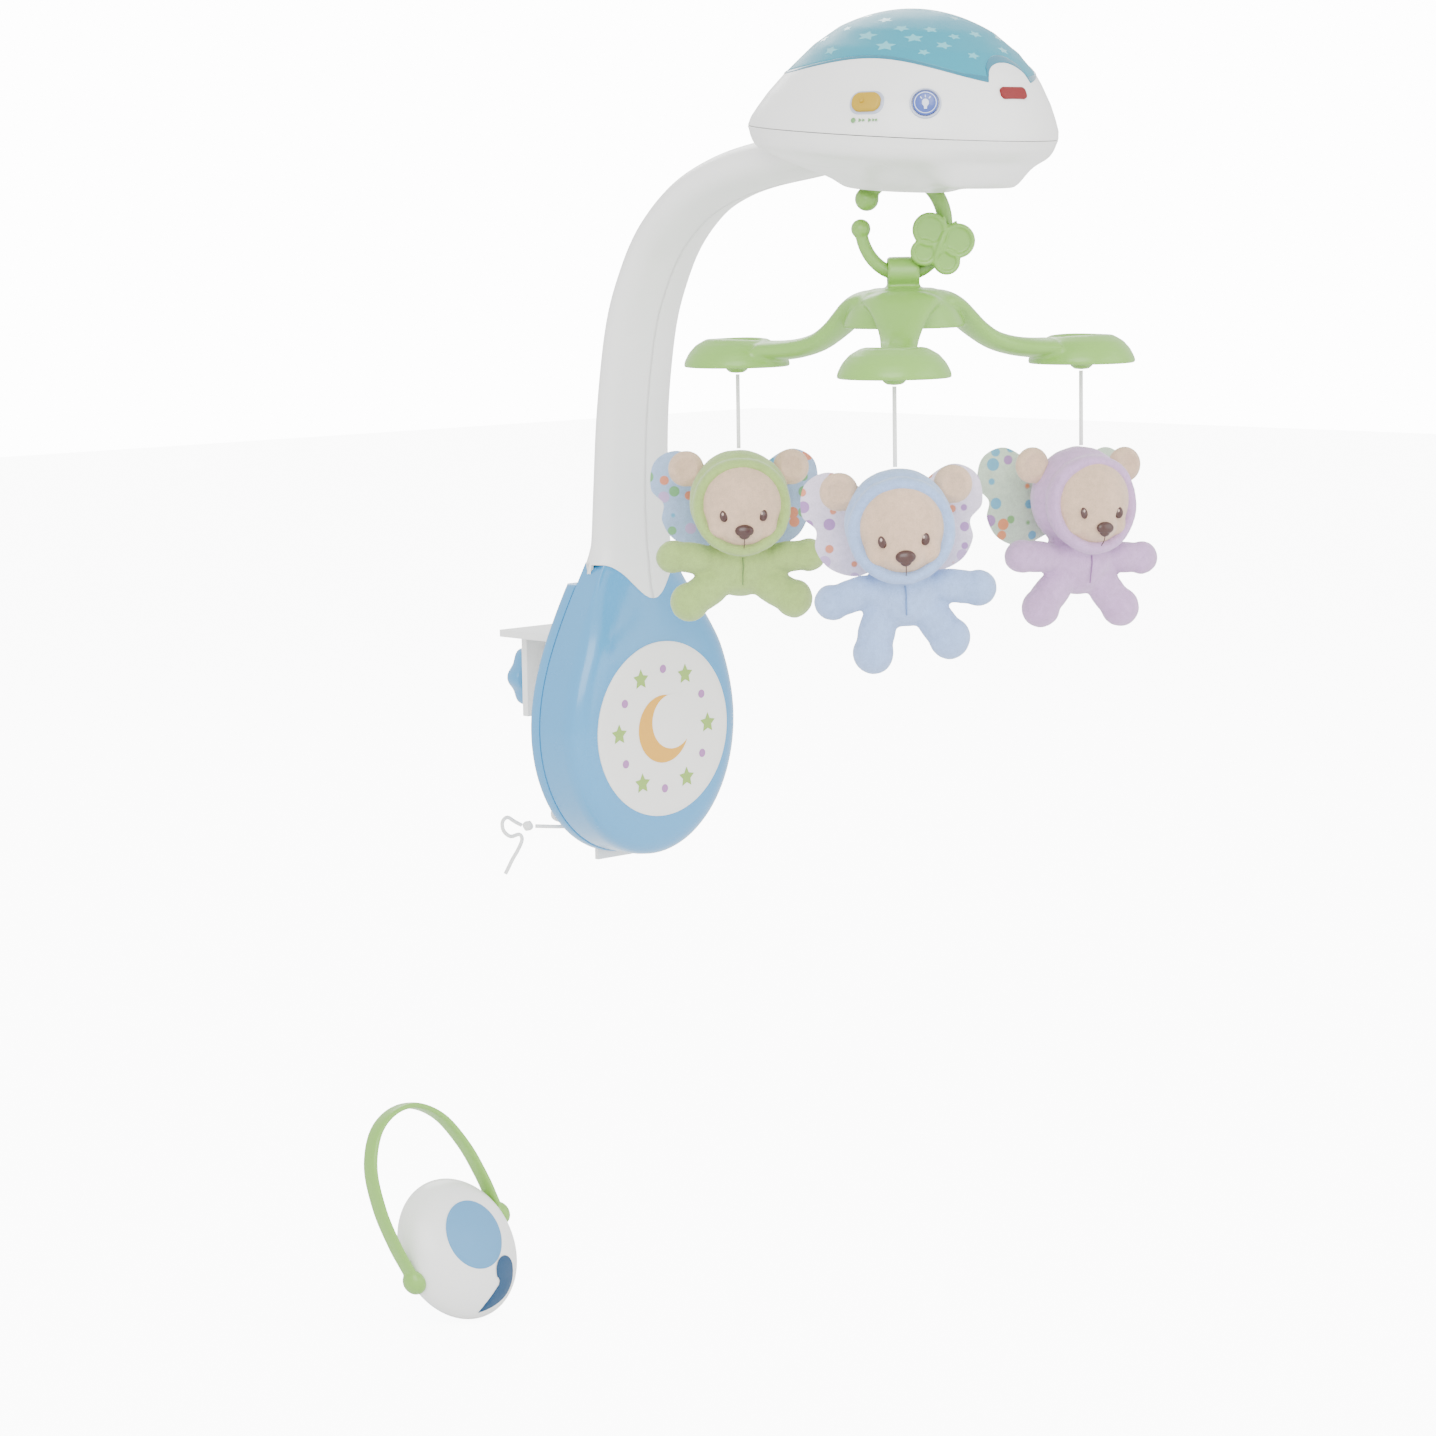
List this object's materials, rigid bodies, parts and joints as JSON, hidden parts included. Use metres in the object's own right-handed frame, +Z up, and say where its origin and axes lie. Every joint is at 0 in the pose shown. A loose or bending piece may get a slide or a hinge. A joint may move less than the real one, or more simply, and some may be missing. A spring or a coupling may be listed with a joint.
{
  "type": "crib mobile",
  "caption": "Cot-rail mobile: clamped base, curved arm, projector head turning a hanging ring and hanger with plush bears on cords, and a hand remote.",
  "frame": {"origin": "underside of the clamp's hook, over the middle of the rail", "axes": "+X along the cot rail, -Y over the cot, +Z up"},
  "size_m": [0.4868, 0.553, 0.9464],
  "materials": {
    "base_blue": "glossy moulded",
    "label_print": "printed label",
    "white_plastic": "satin moulded",
    "lens_blue": "clear tinted",
    "rim_teal": "glossy",
    "button_blue": "satin",
    "bezel_pale": "satin",
    "slider_yellow": "satin",
    "badge_red": "satin",
    "hook_orange": "satin",
    "green_plastic": "satin moulded",
    "gear_white": "moulded",
    "dark_plastic": "moulded",
    "steel": "plain",
    "brass": "plain",
    "board_green": "laminate",
    "cord_white": "braided",
    "plush_green": "short pile",
    "plush_blue": "short pile",
    "plush_lilac": "short pile",
    "wing_print": "printed",
    "pad_blue": "soft touch",
    "window_blue": "tinted clear"
  },
  "bodies": {
    "base": {"base_front_cover": "base_blue", "base_back_housing": "base_blue", "base_label": "label_print", "base_screw_left": "steel", "base_screw_right": "steel", "clamp_bracket": "white_plastic", "clamp_nut": "white_plastic", "arm_left_half": "white_plastic", "arm_right_half": "white_plastic", "arm_spigot": "dark_plastic", "tie_cord": "cord_white", "tie_bow": "cord_white"},
    "clamp_pad": {"clamp_pad": "dark_plastic"},
    "clamp_screw": {"clamp_screw": "white_plastic", "clamp_knob": "base_blue"},
    "head": {"head_lower_shell": "white_plastic", "ring_well": "white_plastic", "head_upper_shell": "white_plastic", "projector_lens": "lens_blue", "lens_rim": "rim_teal", "star_lamp": "gear_white", "speaker": "dark_plastic", "circuit_board": "board_green", "drive_motor": "steel", "gearbox_plate": "gear_white", "battery_cell_1": "steel", "battery_cell_2": "steel", "battery_cell_3": "steel", "battery_cell_4": "steel", "button_bezel": "bezel_pale", "front_badge": "badge_red"},
    "battery_door_left": {"battery_door_1": "white_plastic"},
    "battery_door_right": {"battery_door_2": "white_plastic"},
    "slider": {"slider_switch": "slider_yellow"},
    "button": {"light_button": "button_blue"},
    "pinion": {"motor_pinion": "brass"},
    "reduction": {"reduction_gear": "gear_white"},
    "output": {"output_gear": "gear_white", "output_hook": "hook_orange"},
    "drum": {"star_drum": "dark_plastic"},
    "ring": {"hanging_ring": "green_plastic", "butterfly_charm": "green_plastic"},
    "hanger": {"hanger": "green_plastic"},
    "cord_green": {"string_green": "cord_white"},
    "plush_green": {"bear_green": "plush_green", "wings_green": "wing_print"},
    "cord_blue": {"string_blue": "cord_white"},
    "plush_blue": {"bear_blue": "plush_blue", "wings_blue": "wing_print"},
    "cord_lilac": {"string_lilac": "cord_white"},
    "plush_lilac": {"bear_lilac": "plush_lilac", "wings_lilac": "wing_print"},
    "remote": {"remote_front_shell": "white_plastic", "remote_back_shell": "base_blue", "remote_signal_window": "window_blue", "remote_board": "board_green", "remote_cell_1": "steel", "remote_cell_2": "steel"},
    "remote_handle": {"remote_handle": "green_plastic"},
    "remote_pad": {"remote_pad": "pad_blue"}
  },
  "joints": [
    {"name": "clamp_pad_slide", "type": "slide", "parent": "base", "child": "clamp_pad", "axis": [0, 1, 0], "range_m": [-0.0152, 0.0038]},
    {"name": "clamp_screw_turn", "type": "hinge", "parent": "clamp_pad", "child": "clamp_screw", "pos_m": [0, 0.05, -0.038], "axis": [0, 1, 0], "range_deg": [-450, 108]},
    {"name": "head_release", "type": "slide", "parent": "base", "child": "head", "axis": [0, -1, 0], "range_m": [0, 0.03]},
    {"name": "battery_door_left_lift", "type": "slide", "parent": "head", "child": "battery_door_left", "axis": [0, 0.0802, -0.9968], "range_m": [0, 0.015]},
    {"name": "battery_door_right_lift", "type": "slide", "parent": "head", "child": "battery_door_right", "axis": [0, 0.0802, -0.9968], "range_m": [0, 0.015]},
    {"name": "slider_switch_slide", "type": "slide", "parent": "head", "child": "slider", "axis": [0.3845, -0.9231, 0], "range_m": [-0.0035, 0.0035]},
    {"name": "light_button_press", "type": "slide", "parent": "head", "child": "button", "axis": [0.685, 0.656, -0.317], "range_m": [0, 0.002], "stiffness_N_per_m": 400},
    {"name": "output_turn", "type": "hinge", "parent": "head", "child": "output", "pos_m": [0, -0.336, 0.36], "axis": [0, 0, 1], "continuous": true},
    {"name": "reduction_turn", "type": "hinge", "parent": "head", "child": "reduction", "pos_m": [0, -0.36235, 0.365], "axis": [0, 0, 1], "continuous": true},
    {"name": "pinion_turn", "type": "hinge", "parent": "head", "child": "pinion", "pos_m": [0.02435, -0.36235, 0.369], "axis": [0, 0, 1], "continuous": true},
    {"name": "drum_turn", "type": "hinge", "parent": "head", "child": "drum", "pos_m": [0, -0.336, 0.41], "axis": [0, 0, 1], "continuous": true},
    {"name": "ring_swing", "type": "hinge", "parent": "output", "child": "ring", "pos_m": [0, -0.336, 0.3465], "axis": [0.7218, -0.6921, 0], "range_deg": [-12, 12]},
    {"name": "hanger_swing", "type": "hinge", "parent": "ring", "child": "hanger", "pos_m": [0, -0.336, 0.2775], "axis": [0.7218, -0.6921, 0], "range_deg": [-12, 12]},
    {"name": "cord_green_swing", "type": "hinge", "parent": "hanger", "child": "cord_green", "pos_m": [-0.02689, -0.19504, 0.20565], "axis": [-0.9823, -0.1874, 0], "range_deg": [-15, 15]},
    {"name": "plush_green_twist", "type": "hinge", "parent": "cord_green", "child": "plush_green", "pos_m": [-0.02689, -0.19504, 0.1518], "axis": [0, 0, 1], "range_deg": [-60, 60]},
    {"name": "cord_blue_swing", "type": "hinge", "parent": "hanger", "child": "cord_blue", "pos_m": [-0.10863, -0.42977, 0.20565], "axis": [0.6534, -0.757, 0], "range_deg": [-15, 15]},
    {"name": "plush_blue_twist", "type": "hinge", "parent": "cord_blue", "child": "plush_blue", "pos_m": [-0.10863, -0.42977, 0.1518], "axis": [0, 0, 1], "range_deg": [-60, 60]},
    {"name": "cord_lilac_swing", "type": "hinge", "parent": "hanger", "child": "cord_lilac", "pos_m": [0.13552, -0.38319, 0.20565], "axis": [0.3289, 0.9444, 0], "range_deg": [-15, 15]},
    {"name": "plush_lilac_twist", "type": "hinge", "parent": "cord_lilac", "child": "plush_lilac", "pos_m": [0.13552, -0.38319, 0.1518], "axis": [0, 0, 1], "range_deg": [-60, 60]},
    {"name": "remote_lift", "type": "slide", "parent": "base", "child": "remote", "axis": [0, 0, 1], "range_m": [0, 0.1]},
    {"name": "remote_handle_turn", "type": "hinge", "parent": "remote", "child": "remote_handle", "pos_m": [-0.2083, -0.0712, -0.4349], "axis": [0.9397, 0.1314, 0.3158], "range_deg": [-75, 50]},
    {"name": "remote_pad_press", "type": "slide", "parent": "remote", "child": "remote_pad", "axis": [0, 0.9232, -0.3843], "range_m": [0, 0.0015], "stiffness_N_per_m": 500}
  ],
  "couplings": [
    {"joint": "clamp_pad_slide", "follows": "clamp_screw_turn", "m_per_rad": 0.0019099},
    {"joint": "reduction_turn", "follows": "output_turn", "ratio": -3.3333},
    {"joint": "pinion_turn", "follows": "output_turn", "ratio": 12.667},
    {"joint": "drum_turn", "follows": "output_turn", "ratio": 0.5}
  ]
}
